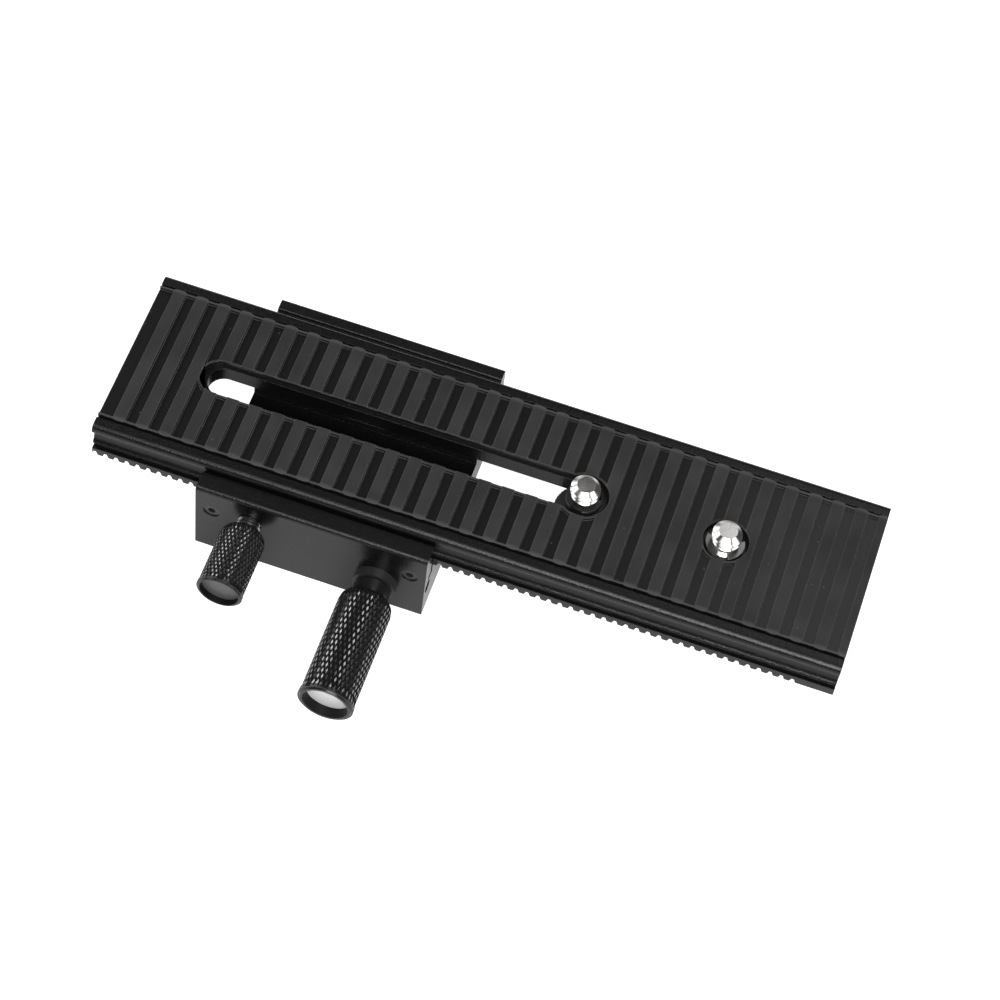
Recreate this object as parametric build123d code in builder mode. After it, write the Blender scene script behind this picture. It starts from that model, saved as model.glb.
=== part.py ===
from build123d import *
import math
import os

os.makedirs("parts", exist_ok=True)

# A focusing rail for close-up photography. All sizes are in millimetres.
# X runs along the rail, Y to the rear and Z up. The origin is the mouth of the tripod
# socket, in the middle of the carriage's underside.

# ---------------------------------------------------------------- driving dimensions

# Rail plate: a wide channel, open below, with a lip along each long edge
rail_length = 160.0
rail_centre_x = 30.5          # where the middle of the rail stands over the carriage
rail_top_z = 23.2             # height of the lips above the carriage's underside
rail_height = 10.0
rail_half_width = 21.1        # to the outside of the lower flanges
flange_width = 4.6
flange_chamfer = 0.6
lip_setback = 0.2             # the lip stands this far inside the flange
lip_width = 2.8
lip_flat_width = 1.4
lip_round_drop = 1.2
lip_thickness = 1.8
pad_recess_depth = 1.05
web_thickness = 3.7

# Cove: the hollow guide way along each side of the rail
cove_radius = 2.6
cove_depth = 1.2
cove_height = 4.1
relief_depth = 0.7            # square groove between the cove and the flange
relief_height = 1.4

# Rack, cut up into the underside of the front flange
gear_module = 0.75
pressure_angle = 20.0
tooth_backlash = 0.06
dedendum_factor = 1.25
rack_plain_end = 6.5          # uncut length at the rail's right end

# Pinion on the drive shaft
pinion_teeth = 14
pinion_shift = 0.2            # profile shift, in modules
pinion_width = 3.7
pinion_side_gap = 0.2         # from the rail's front face to the pinion
pinion_tip_gap = 0.35         # pocket wall outside the teeth

# Long slot and round hole for the camera screws
slot_half_width = 3.5
slot_left_inset = 21.0        # from the rail's left end to the slot's left centre
slot_right_inset = 99.6       # from the rail's left end to the slot's right centre
screw_spacing = 30.3          # from the slot's right centre to the round hole
end_hole_radius = 3.25

# Rubber grip pad in the rail's recess
pad_side_gap = 0.6
pad_base_thickness = 0.7
pad_rib_height = 0.9
pad_rib_pitch = 5.0
pad_rib_width = 2.7
pad_rib_cut = 0.85            # part of the last rib that the end of the pad cuts off
pad_rim_width = 0.5           # thin raised rim along the long sides and round the openings
pad_rim_height = 0.7
pad_slot_half_width = 4.07
pad_slot_lead = 1.0           # the pad's opening starts this far left of the slot
pad_boss_radius = 5.1         # wider end of the opening round the slot screw
pad_hole_radius = 4.8

# Camera screws, 1/4 inch
camera_screw_radius = 3.175
camera_screw_rise = 4.3       # tip above the rail's lips
camera_screw_chamfer = 0.6
screw_head_radius = 5.9
screw_head_thickness = 4.2
head_gap = 0.1
coin_slot_width = 1.6
coin_slot_depth = 1.4
clip_radius = 3.9
clip_thickness = 0.8
clip_seat_gap = 0.06
neck_room = 0.12              # clear height of the neck above the clip
neck_radius = 2.6
end_clip_radius = 4.2

# Carriage
carriage_length = 50.0
ledge_drop = 2.1              # from the rail's lips down to the carriage's ledges
ledge_round = 1.0
rear_step_width = 1.1         # of the step between the rear tongue and the rear ledge
rear_step_round = 0.5
base_chamfer = 0.5
jaw_gap = 0.3                 # between a jaw and the side of the rail
land_gap = 0.1                # between the lands and the rail's flanges
land_slit_width = 0.7         # between the front land and the gib
floor_half_width = 9.0
floor_thickness = 8.2
tongue_gap = 0.3              # between a tongue and the cove that it runs in
tongue_top_drop = 2.7
tongue_low_drop = 5.5

# Gib strip in the front wall
gib_thickness = 1.7
gib_wall_thickness = 2.4      # of the front wall behind the gib
gib_top_drop = 3.3
gib_low_drop = 12.5
gib_gap = 0.1
gib_notch_gap = 0.3           # between the gib's notch and the thrust washer
gib_screw_radius = 1.75
gib_screw_length = 2.2
gib_screw_inset = 3.5         # from each end of the carriage
gib_screw_drop = 9.2
hex_key_flats = 1.5
hex_key_depth = 1.2

# Fits that several pieces share
fixed_gap = 0.02              # between a piece and the hole that it is fixed in
running_gap = 0.05            # between a turning piece and its hole, on the radius

# Tripod bush
tripod_bush_radius = 5.0
tripod_hole_radius = 2.6
tripod_bush_length = 7.4

# Drive: shaft, bushes and knob
drive_inset = 10.3            # from the carriage's right end to the drive's axis
shaft_radius = 2.5
front_bush_radius = 4.0
front_bush_flange_radius = 4.6
front_bush_flange = 1.9
thrust_washer_radius = 4.2
thrust_washer_thickness = 0.4
washer_gap = 0.1
rear_bush_radius = 3.75
rear_bush_length = 4.4
shaft_end_gap = 0.4
bush_screw_radius = 1.5
bush_screw_length = 4.0
bush_screw_inset = 2.3        # from the front face to the axis of the pinching screw
knob_gap = 0.1
drive_knob_radius = 5.83
drive_knob_length = 29.2
drive_collar_radius = 3.9
drive_collar_length = 2.9
drive_shoulder_length = 2.6
drive_rim_width = 1.05
drive_disc_inset = 2.3
disc_thickness = 1.2
knob_bore_depth = 20.0
knob_grub_radius = 1.0
knob_grub_flats = 0.9
knob_grub_socket_depth = 0.6
rim_chamfer = 0.4             # on the front edge of both knobs

# Clamp: screw, knob and pad
lock_inset = 11.8             # from the carriage's left end to the clamp's axis
lock_drop = 9.3
lock_screw_radius = 2.5
lock_pad_radius = 2.3
lock_pad_thickness = 1.2
lock_pad_gap = 0.05
lock_neck_length = 2.1
lock_knob_radius = 4.84
lock_knob_length = 15.5
lock_neck_radius = 2.9
lock_shoulder_length = 3.1
lock_rim_width = 0.7
lock_disc_inset = 1.4
lock_bore_depth = 9.0

# ---------------------------------------------------------------- worked-out places

rail_left_x = rail_centre_x - rail_length / 2
rail_right_x = rail_centre_x + rail_length / 2
rail_low_z = rail_top_z - rail_height
flange_inner_y = rail_half_width - flange_width
lip_outer_y = rail_half_width - lip_setback
lip_inner_y = lip_outer_y - lip_width
web_top_z = rail_top_z - pad_recess_depth
web_low_z = web_top_z - web_thickness
cove_top_z = rail_top_z - lip_thickness
cove_low_z = cove_top_z - cove_height
cove_centre_y = lip_outer_y - cove_depth + cove_radius
cove_centre_z = (cove_top_z + cove_low_z) / 2
flange_top_z = cove_low_z - relief_height

jaw_y = rail_half_width + jaw_gap
gib_back_y = jaw_y + gib_thickness
carriage_half_width = gib_back_y + gib_gap + gib_wall_thickness
front_face_y = -carriage_half_width
carriage_right_x = carriage_length / 2
drive_x = carriage_right_x - drive_inset
lock_x = lock_inset - carriage_right_x
gib_screw_x = carriage_right_x - gib_screw_inset
bush_screw_y = front_face_y + bush_screw_inset

slot_left_x = rail_left_x + slot_left_inset
slot_right_x = rail_left_x + slot_right_inset
end_hole_x = slot_right_x + screw_spacing

rack_pitch = math.pi * gear_module
rack_pitch_z = rail_low_z + gear_module
rack_root_z = rack_pitch_z + dedendum_factor * gear_module
gaps_left = math.ceil((drive_x - rail_left_x) / rack_pitch)
gaps_right = math.floor((rail_right_x - rack_plain_end - drive_x) / rack_pitch - 0.5)
rack_gap_count = gaps_left + gaps_right + 1
rack_middle_x = drive_x + (gaps_right - gaps_left) * rack_pitch / 2
gap_mouth_z = rail_low_z - gear_module
flank_slope = math.tan(math.radians(pressure_angle))
gap_mouth_width = rack_pitch / 2 + 2 * (rack_pitch_z - gap_mouth_z) * flank_slope
pinion_pitch_radius = gear_module * pinion_teeth / 2
pinion_tip_radius = pinion_pitch_radius + gear_module * (1 + pinion_shift)
pinion_root_radius = pinion_pitch_radius - gear_module * (dedendum_factor - pinion_shift)
pinion_front_y = -rail_half_width + pinion_side_gap
pinion_rear_y = pinion_front_y + pinion_width
drive_z = rack_pitch_z - pinion_pitch_radius - gear_module * pinion_shift

land_top_z = rail_low_z - land_gap
ledge_z = rail_top_z - ledge_drop
land_slit_y = jaw_y - land_slit_width
gib_top_z = rail_top_z - gib_top_drop
gib_low_z = rail_top_z - gib_low_drop
gib_screw_z = rail_top_z - gib_screw_drop
lock_z = rail_top_z - lock_drop


def cove_offset_y(z, gap):
    """Half-width at height z of a curve that stands a gap inside the cove."""
    radius = cove_radius - gap
    return cove_centre_y - math.sqrt(radius**2 - (z - cove_centre_z) ** 2)


def front_plane(x, y, z):
    """A plane across the Y axis at depth y, whose normal points out to the front."""
    return Plane(origin=(x, y, z), x_dir=(1, 0, 0), z_dir=(0, -1, 0))


def turning_plane(x, y, z):
    """Half-section of a piece turned about Y: local x is radius, local y runs to the front."""
    return Plane(origin=(x, y, z), x_dir=(1, 0, 0), z_dir=(0, 0, -1))


# ---------------------------------------------------------------- rail plate

with BuildPart() as rail_plate:
    with BuildSketch(Plane.YZ.offset(rail_left_x)) as rail_section:
        with BuildLine():
            Polyline(
                (0, web_top_z),
                (lip_inner_y, web_top_z),
                (lip_inner_y, rail_top_z),
                (lip_inner_y + lip_flat_width, rail_top_z),
            )
            TangentArc(
                (lip_inner_y + lip_flat_width, rail_top_z),
                (lip_outer_y, rail_top_z - lip_round_drop),
                tangent=(1, 0),
            )
            Polyline(
                (lip_outer_y, rail_top_z - lip_round_drop),
                (lip_outer_y, cove_top_z),
                (cove_offset_y(cove_top_z, 0), cove_top_z),
            )
            ThreePointArc(
                (cove_offset_y(cove_top_z, 0), cove_top_z),
                (cove_offset_y(cove_centre_z, 0), cove_centre_z),
                (cove_offset_y(cove_low_z, 0), cove_low_z),
            )
            Polyline(
                (cove_offset_y(cove_low_z, 0), cove_low_z),
                (cove_offset_y(cove_low_z, 0) - relief_depth, cove_low_z),
                (cove_offset_y(cove_low_z, 0) - relief_depth, flange_top_z),
                (rail_half_width, flange_top_z),
                (rail_half_width, rail_low_z + flange_chamfer),
                (rail_half_width - flange_chamfer, rail_low_z),
                (flange_inner_y, rail_low_z),
                (flange_inner_y, web_low_z),
                (0, web_low_z),
                (0, web_top_z),
            )
        make_face()
        mirror(about=Plane.YZ)
    extrude(amount=rail_length)
    # the long slot, with round ends
    with BuildSketch(Plane.XY.offset(web_low_z)):
        with Locations(((slot_left_x + slot_right_x) / 2, 0)):
            SlotCenterToCenter(slot_right_x - slot_left_x, 2 * slot_half_width)
        with Locations((end_hole_x, 0)):
            Circle(end_hole_radius)
    extrude(amount=web_thickness, mode=Mode.SUBTRACT)
    # the rack's gaps: one lies over the drive shaft, the rest follow from it
    with BuildSketch(Plane.XZ.offset(flange_inner_y - gear_module)):
        with Locations((rack_middle_x, (rack_root_z + gap_mouth_z) / 2)):
            with GridLocations(rack_pitch, 1, rack_gap_count, 1):
                Trapezoid(gap_mouth_width, rack_root_z - gap_mouth_z, 90 - pressure_angle)
    extrude(amount=flange_width + 2 * gear_module, mode=Mode.SUBTRACT)
rail_plate.part.label = "rail_plate"
export_step(rail_plate.part, "parts/rail_plate.step")

# ---------------------------------------------------------------- grip pad

pad_half_width = lip_inner_y - pad_side_gap
pad_opening_left = slot_left_x - pad_slot_lead
rib_count = math.floor(rail_length / pad_rib_pitch)
last_rib_x = rail_right_x + pad_rib_cut - pad_rib_width / 2
rib_middle_x = last_rib_x - (rib_count - 1) * pad_rib_pitch / 2

with BuildPart() as grip_pad:
    with BuildSketch(Plane.XY.offset(web_top_z)):
        with Locations((rail_centre_x, 0)):
            Rectangle(rail_length, 2 * pad_half_width)
    extrude(amount=pad_base_thickness)
    with BuildSketch(Plane.XY.offset(web_top_z + pad_base_thickness)):
        with Locations((rib_middle_x, 0)):
            with GridLocations(pad_rib_pitch, 1, rib_count, 1):
                Rectangle(pad_rib_width, 2 * pad_half_width)
        with Locations((rail_centre_x, 0)):
            Rectangle(rail_length, 2 * pad_half_width, mode=Mode.INTERSECT)
    extrude(amount=pad_rib_height)
    with BuildSketch(Plane.XY.offset(web_top_z + pad_base_thickness)):
        with Locations((rail_centre_x, 0)):
            Rectangle(rail_length, 2 * pad_half_width)
            Rectangle(rail_length, 2 * (pad_half_width - pad_rim_width), mode=Mode.SUBTRACT)
        with Locations(((pad_opening_left + slot_right_x) / 2, 0)):
            SlotCenterToCenter(
                slot_right_x - pad_opening_left, 2 * (pad_slot_half_width + pad_rim_width)
            )
        with Locations((slot_right_x, 0)):
            Circle(pad_boss_radius + pad_rim_width)
        with Locations((end_hole_x, 0)):
            Circle(pad_hole_radius + pad_rim_width)
    extrude(amount=pad_rim_height)
    with BuildSketch(Plane.XY.offset(web_top_z)):
        with Locations(((pad_opening_left + slot_right_x) / 2, 0)):
            SlotCenterToCenter(slot_right_x - pad_opening_left, 2 * pad_slot_half_width)
        with Locations((slot_right_x, 0)):
            Circle(pad_boss_radius)
        with Locations((end_hole_x, 0)):
            Circle(pad_hole_radius)
    extrude(amount=pad_base_thickness + pad_rib_height, mode=Mode.SUBTRACT)
grip_pad.part.label = "grip_pad"
export_step(grip_pad.part, "parts/grip_pad.step")

# ---------------------------------------------------------------- camera screws and clips

head_top_z = web_low_z - head_gap
clip_low_z = web_top_z + clip_seat_gap
neck_gap = clip_seat_gap / 2
screw_tip_z = rail_top_z + camera_screw_rise


def camera_screw(screw_x):
    """A captive screw: coin-slotted head, shank, neck for the clip, threaded end."""
    with BuildPart() as screw:
        with BuildSketch(front_plane(screw_x, 0, 0)):
            with BuildLine():
                Polyline(
                    (0, head_top_z - screw_head_thickness),
                    (screw_head_radius, head_top_z - screw_head_thickness),
                    (screw_head_radius, head_top_z),
                    (camera_screw_radius, head_top_z),
                    (camera_screw_radius, clip_low_z - neck_gap),
                    (neck_radius, clip_low_z - neck_gap),
                    (neck_radius, clip_low_z + clip_thickness + neck_room),
                    (camera_screw_radius, clip_low_z + clip_thickness + neck_room),
                    (camera_screw_radius, screw_tip_z - camera_screw_chamfer),
                    (camera_screw_radius - camera_screw_chamfer, screw_tip_z),
                    (0, screw_tip_z),
                    close=True,
                )
            make_face()
        revolve(axis=Axis((screw_x, 0, 0), (0, 0, 1)))
        with BuildSketch(Plane.XY.offset(head_top_z - screw_head_thickness)):
            with Locations((screw_x, 0)):
                Rectangle(2 * screw_head_radius, coin_slot_width)
        extrude(amount=coin_slot_depth, mode=Mode.SUBTRACT)
    return screw


slot_screw = camera_screw(slot_right_x)
slot_screw.part.label = "slot_screw"
export_step(slot_screw.part, "parts/slot_screw.step")

end_screw = camera_screw(end_hole_x)
end_screw.part.label = "end_screw"
export_step(end_screw.part, "parts/end_screw.step")

with BuildPart() as slot_clip:
    with BuildSketch(Plane.XY.offset(clip_low_z)):
        with Locations((slot_right_x, 0)):
            Circle(clip_radius)
            Circle(neck_radius + running_gap, mode=Mode.SUBTRACT)
    extrude(amount=clip_thickness)
slot_clip.part.label = "slot_clip"
export_step(slot_clip.part, "parts/slot_clip.step")

with BuildPart() as end_clip:
    with BuildSketch(Plane.XY.offset(clip_low_z)):
        with Locations((end_hole_x, 0)):
            Circle(end_clip_radius)
            Circle(neck_radius + running_gap, mode=Mode.SUBTRACT)
    extrude(amount=clip_thickness)
end_clip.part.label = "end_clip"
export_step(end_clip.part, "parts/end_clip.step")

# ---------------------------------------------------------------- carriage


def tongue(top_z, low_z, root_y):
    """Section of a tongue on the rear side: a round nose that follows the cove."""
    middle_z = (top_z + low_z) / 2
    with BuildSketch() as section:
        with BuildLine():
            ThreePointArc(
                (cove_offset_y(top_z, tongue_gap), top_z),
                (cove_offset_y(middle_z, tongue_gap), middle_z),
                (cove_offset_y(low_z, tongue_gap), low_z),
            )
            Polyline(
                (cove_offset_y(low_z, tongue_gap), low_z),
                (root_y, low_z),
                (root_y, top_z),
                (cove_offset_y(top_z, tongue_gap), top_z),
            )
        make_face()
    return section.sketch


tongue_low_z = rail_top_z - tongue_low_drop
tongue_top_z = rail_top_z - tongue_top_drop
recess_back_y = gib_back_y + gib_gap
rear_step_y = jaw_y + rear_step_width
recess_top_z = gib_top_z + gib_gap
recess_low_z = gib_low_z - gib_gap
bush_inner_y = pinion_front_y - washer_gap - thrust_washer_thickness - washer_gap
pocket_rear_y = pinion_rear_y + washer_gap
rear_bore_y = pocket_rear_y + rear_bush_length + shaft_end_gap

rear_tongue = tongue(tongue_top_z, tongue_low_z, jaw_y)

with BuildPart() as carriage_body:
    with BuildSketch(Plane.YZ.offset(-carriage_length / 2)):
        with BuildLine():
            Polyline(
                (-carriage_half_width, 0),
                (-carriage_half_width, ledge_z),
                (-jaw_y, ledge_z),
                (-jaw_y, recess_top_z),
                (-recess_back_y, recess_top_z),
                (-recess_back_y, recess_low_z),
                (-land_slit_y, recess_low_z),
                (-land_slit_y, land_top_z),
                (-floor_half_width, land_top_z),
                (-floor_half_width, floor_thickness),
                (floor_half_width, floor_thickness),
                (floor_half_width, land_top_z),
                (jaw_y, land_top_z),
                (jaw_y, tongue_top_z),
                (rear_step_y, tongue_top_z),
                (rear_step_y, ledge_z),
                (carriage_half_width, ledge_z),
                (carriage_half_width, 0),
                close=True,
            )
        make_face()
    extrude(amount=carriage_length)
    with BuildSketch(Plane.YZ.offset(-carriage_length / 2)):
        add(rear_tongue)
    extrude(amount=carriage_length)
    long_edges = carriage_body.edges().filter_by(Axis.X)
    outer_edges = long_edges.filter_by(lambda e: abs(e.center().Y) > carriage_half_width - 0.01)
    fillet(outer_edges.sort_by(Axis.Z)[-2:], ledge_round)
    step_edges = long_edges.filter_by(lambda e: abs(e.center().Y - rear_step_y) < 0.01)
    fillet(step_edges.sort_by(Axis.Z)[-1], rear_step_round)
    base_edges = carriage_body.faces().sort_by(Axis.Z)[0].edges()
    chamfer(base_edges, base_chamfer)
    # pocket for the pinion, then the bores of its two bushes, all on the drive axis
    with BuildSketch(front_plane(drive_x, pocket_rear_y, drive_z)):
        Circle(pinion_tip_radius + pinion_tip_gap)
    extrude(amount=pocket_rear_y - bush_inner_y, mode=Mode.SUBTRACT)
    with BuildSketch(front_plane(drive_x, front_face_y, drive_z)):
        Circle(front_bush_radius + fixed_gap)
    extrude(amount=front_face_y - bush_inner_y, mode=Mode.SUBTRACT)
    with BuildSketch(front_plane(drive_x, rear_bore_y, drive_z)):
        Circle(rear_bush_radius + fixed_gap)
    extrude(amount=rear_bore_y - pocket_rear_y, mode=Mode.SUBTRACT)
    # threaded holes in the front wall: the clamp screw and the two gib screws
    with BuildSketch(front_plane(0, front_face_y, 0)):
        with Locations((lock_x, lock_z)):
            Circle(lock_screw_radius + running_gap)
        with Locations((-gib_screw_x, gib_screw_z), (gib_screw_x, gib_screw_z)):
            Circle(gib_screw_radius + fixed_gap)
    extrude(amount=front_face_y + recess_back_y, mode=Mode.SUBTRACT)
    # hole in the right end face for the screw that pinches the front bush
    with BuildSketch(Plane.YZ.offset(carriage_right_x)):
        with Locations((bush_screw_y, drive_z)):
            Circle(bush_screw_radius + fixed_gap)
    extrude(amount=-(carriage_right_x - drive_x), mode=Mode.SUBTRACT)
    # hole for the tripod bush, through the floor
    with BuildSketch(Plane.XY):
        Circle(tripod_bush_radius + fixed_gap)
    extrude(amount=floor_thickness, mode=Mode.SUBTRACT)
carriage_body.part.label = "carriage_body"
export_step(carriage_body.part, "parts/carriage_body.step")

# ---------------------------------------------------------------- gib strip and its screws

front_tongue = mirror(tongue(gib_top_z, tongue_low_z, jaw_y), about=Plane.YZ)
gib_length = carriage_length - 2 * gib_gap

with BuildPart() as gib_strip:
    with BuildSketch(Plane.YZ.offset(-gib_length / 2)):
        with Locations((-(jaw_y + gib_back_y) / 2, (gib_top_z + gib_low_z) / 2)):
            Rectangle(gib_thickness, gib_top_z - gib_low_z)
        add(front_tongue)
    extrude(amount=gib_length)
    # round notch over the front bush
    with BuildSketch(front_plane(drive_x, -jaw_y, drive_z)):
        Circle(thrust_washer_radius + gib_notch_gap)
    extrude(amount=gib_thickness, mode=Mode.SUBTRACT)
gib_strip.part.label = "gib_strip"
export_step(gib_strip.part, "parts/gib_strip.step")

with BuildPart() as gib_screws:
    with BuildSketch(front_plane(0, -gib_back_y - lock_pad_gap, 0)):
        with Locations((-gib_screw_x, gib_screw_z), (gib_screw_x, gib_screw_z)):
            Circle(gib_screw_radius)
    extrude(amount=gib_screw_length)
    with BuildSketch(front_plane(0, -gib_back_y - lock_pad_gap - gib_screw_length, 0)):
        with Locations((-gib_screw_x, gib_screw_z), (gib_screw_x, gib_screw_z)):
            RegularPolygon(hex_key_flats / 2, 6, major_radius=False)
    extrude(amount=-hex_key_depth, mode=Mode.SUBTRACT)
gib_screws.part.label = "gib_screws"
export_step(gib_screws.part, "parts/gib_screws.step")

# ---------------------------------------------------------------- bushes

with BuildPart() as tripod_bush:
    with BuildSketch(Plane.XY):
        Circle(tripod_bush_radius)
        Circle(tripod_hole_radius, mode=Mode.SUBTRACT)
    extrude(amount=tripod_bush_length)
tripod_bush.part.label = "tripod_bush"
export_step(tripod_bush.part, "parts/tripod_bush.step")

bush_wall = bush_inner_y - front_face_y

with BuildPart() as front_bush:
    with BuildSketch(turning_plane(drive_x, bush_inner_y, drive_z)):
        with BuildLine():
            Polyline(
                (shaft_radius + running_gap, 0),
                (front_bush_radius, 0),
                (front_bush_radius, bush_wall),
                (front_bush_flange_radius, bush_wall),
                (front_bush_flange_radius, bush_wall + front_bush_flange),
                (shaft_radius + running_gap, bush_wall + front_bush_flange),
                close=True,
            )
        make_face()
    revolve(axis=Axis((drive_x, 0, drive_z), (0, 1, 0)))
front_bush.part.label = "front_bush"
export_step(front_bush.part, "parts/front_bush.step")

with BuildPart() as rear_bush:
    with BuildSketch(front_plane(drive_x, pocket_rear_y + rear_bush_length, drive_z)):
        Circle(rear_bush_radius)
        Circle(shaft_radius + running_gap, mode=Mode.SUBTRACT)
    extrude(amount=rear_bush_length)
rear_bush.part.label = "rear_bush"
export_step(rear_bush.part, "parts/rear_bush.step")

bush_screw_x = drive_x + front_bush_radius + running_gap

with BuildPart() as bush_screw:
    with BuildSketch(Plane.YZ.offset(bush_screw_x)):
        with Locations((bush_screw_y, drive_z)):
            Circle(bush_screw_radius)
    extrude(amount=bush_screw_length)
    with BuildSketch(Plane.YZ.offset(bush_screw_x + bush_screw_length)):
        with Locations((bush_screw_y, drive_z)):
            RegularPolygon(hex_key_flats / 2, 6, major_radius=False)
    extrude(amount=-hex_key_depth, mode=Mode.SUBTRACT)
bush_screw.part.label = "bush_screw"
export_step(bush_screw.part, "parts/bush_screw.step")

# ---------------------------------------------------------------- drive shaft and pinion

drive_knob_y = front_face_y - front_bush_flange - knob_gap
shaft_rear_y = pocket_rear_y + rear_bush_length
shaft_front_y = drive_knob_y - knob_bore_depth + knob_gap

with BuildPart() as drive_shaft:
    with BuildSketch(front_plane(drive_x, shaft_rear_y, drive_z)):
        Circle(shaft_radius)
    extrude(amount=shaft_rear_y - shaft_front_y)
drive_shaft.part.label = "drive_shaft"
export_step(drive_shaft.part, "parts/drive_shaft.step")

with BuildPart() as thrust_washer:
    with BuildSketch(front_plane(drive_x, pinion_front_y - washer_gap, drive_z)):
        Circle(thrust_washer_radius)
        Circle(shaft_radius + fixed_gap, mode=Mode.SUBTRACT)
    extrude(amount=thrust_washer_thickness)
thrust_washer.part.label = "thrust_washer"
export_step(thrust_washer.part, "parts/thrust_washer.step")

base_radius = pinion_pitch_radius * math.cos(math.radians(pressure_angle))


def involute(angle):
    """The involute function of an angle in radians."""
    return math.tan(angle) - angle


def flank_point(radius, side):
    """A point on a tooth's flank, for a tooth that points along local x."""
    half_thickness = rack_pitch / 4 + pinion_shift * gear_module * flank_slope
    pitch_half_angle = (half_thickness - tooth_backlash / 2) / pinion_pitch_radius
    angle_there = math.acos(min(base_radius / radius, 1))
    half_angle = pitch_half_angle + involute(math.radians(pressure_angle)) - involute(angle_there)
    return (radius * math.cos(half_angle), side * radius * math.sin(half_angle))


with BuildSketch() as pinion_tooth:
    flank_middle = (base_radius + pinion_tip_radius) / 2
    with BuildLine():
        ThreePointArc(
            flank_point(base_radius, 1),
            flank_point(flank_middle, 1),
            flank_point(pinion_tip_radius, 1),
        )
        ThreePointArc(
            flank_point(pinion_tip_radius, 1),
            (pinion_tip_radius, 0),
            flank_point(pinion_tip_radius, -1),
        )
        ThreePointArc(
            flank_point(pinion_tip_radius, -1),
            flank_point(flank_middle, -1),
            flank_point(base_radius, -1),
        )
        Polyline(
            flank_point(base_radius, -1),
            (shaft_radius + gear_module / 2, -shaft_radius / 4),
            (shaft_radius + gear_module / 2, shaft_radius / 4),
            flank_point(base_radius, 1),
        )
    make_face()

with BuildPart() as pinion:
    with BuildSketch(front_plane(drive_x, pinion_rear_y, drive_z)):
        Circle(pinion_root_radius)
        with PolarLocations(0, pinion_teeth, start_angle=90):
            add(pinion_tooth.sketch)
        Circle(shaft_radius + fixed_gap, mode=Mode.SUBTRACT)
    extrude(amount=pinion_width)
pinion.part.label = "pinion"
export_step(pinion.part, "parts/pinion.step")

# ---------------------------------------------------------------- drive knob

drive_disc_radius = drive_knob_radius - drive_rim_width

with BuildPart() as drive_knob:
    with BuildSketch(turning_plane(drive_x, drive_knob_y, drive_z)):
        with BuildLine():
            Polyline(
                (0, knob_bore_depth),
                (shaft_radius + fixed_gap, knob_bore_depth),
                (shaft_radius + fixed_gap, 0),
                (drive_collar_radius, 0),
                (drive_collar_radius, drive_collar_length),
            )
            TangentArc(
                (drive_collar_radius, drive_collar_length),
                (drive_knob_radius, drive_collar_length + drive_shoulder_length),
                tangent=(1, 0.45),
            )
            Polyline(
                (drive_knob_radius, drive_collar_length + drive_shoulder_length),
                (drive_knob_radius, drive_knob_length - rim_chamfer),
                (drive_knob_radius - rim_chamfer, drive_knob_length),
                (drive_disc_radius + fixed_gap, drive_knob_length),
                (drive_disc_radius + fixed_gap, drive_knob_length - drive_disc_inset - disc_thickness),
                (0, drive_knob_length - drive_disc_inset - disc_thickness),
                (0, knob_bore_depth),
            )
        make_face()
    revolve(axis=Axis((drive_x, 0, drive_z), (0, 1, 0)))
    # radial hole for the knob's grub screw, from below
    with BuildSketch(Plane.XY.offset(drive_z - drive_collar_radius)):
        with Locations((drive_x, drive_knob_y - drive_collar_length / 2)):
            Circle(knob_grub_radius + fixed_gap)
    extrude(amount=drive_collar_radius, mode=Mode.SUBTRACT)
drive_knob.part.label = "drive_knob"
export_step(drive_knob.part, "parts/drive_knob.step")

with BuildPart() as drive_knob_disc:
    disc_back = drive_knob_length - drive_disc_inset - disc_thickness
    with BuildSketch(front_plane(drive_x, drive_knob_y - disc_back, drive_z)):
        Circle(drive_disc_radius)
    extrude(amount=disc_thickness)
drive_knob_disc.part.label = "drive_knob_disc"
export_step(drive_knob_disc.part, "parts/drive_knob_disc.step")

grub_outer_z = drive_z - drive_collar_radius + knob_gap
grub_inner_z = drive_z - shaft_radius - running_gap

with BuildPart() as knob_grub:
    with BuildSketch(Plane.XY.offset(grub_outer_z)):
        with Locations((drive_x, drive_knob_y - drive_collar_length / 2)):
            Circle(knob_grub_radius)
            RegularPolygon(knob_grub_flats / 2, 6, major_radius=False, mode=Mode.SUBTRACT)
    extrude(amount=knob_grub_socket_depth)
    with BuildSketch(Plane.XY.offset(grub_outer_z + knob_grub_socket_depth)):
        with Locations((drive_x, drive_knob_y - drive_collar_length / 2)):
            Circle(knob_grub_radius)
    extrude(amount=grub_inner_z - grub_outer_z - knob_grub_socket_depth)
knob_grub.part.label = "knob_grub"
export_step(knob_grub.part, "parts/knob_grub.step")

# ---------------------------------------------------------------- clamp

lock_pad_back_y = -gib_back_y - lock_pad_gap
lock_screw_tip_y = lock_pad_back_y - lock_pad_thickness - lock_pad_gap
lock_knob_y = front_face_y - lock_neck_length

with BuildPart() as lock_pad:
    with BuildSketch(front_plane(lock_x, lock_pad_back_y, lock_z)):
        Circle(lock_pad_radius)
    extrude(amount=lock_pad_thickness)
lock_pad.part.label = "lock_pad"
export_step(lock_pad.part, "parts/lock_pad.step")

with BuildPart() as lock_screw:
    with BuildSketch(front_plane(lock_x, lock_screw_tip_y, lock_z)):
        Circle(lock_screw_radius)
    extrude(amount=lock_screw_tip_y - (lock_knob_y - lock_bore_depth + knob_gap))
lock_screw.part.label = "lock_screw"
export_step(lock_screw.part, "parts/lock_screw.step")

lock_disc_radius = lock_knob_radius - lock_rim_width

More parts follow.
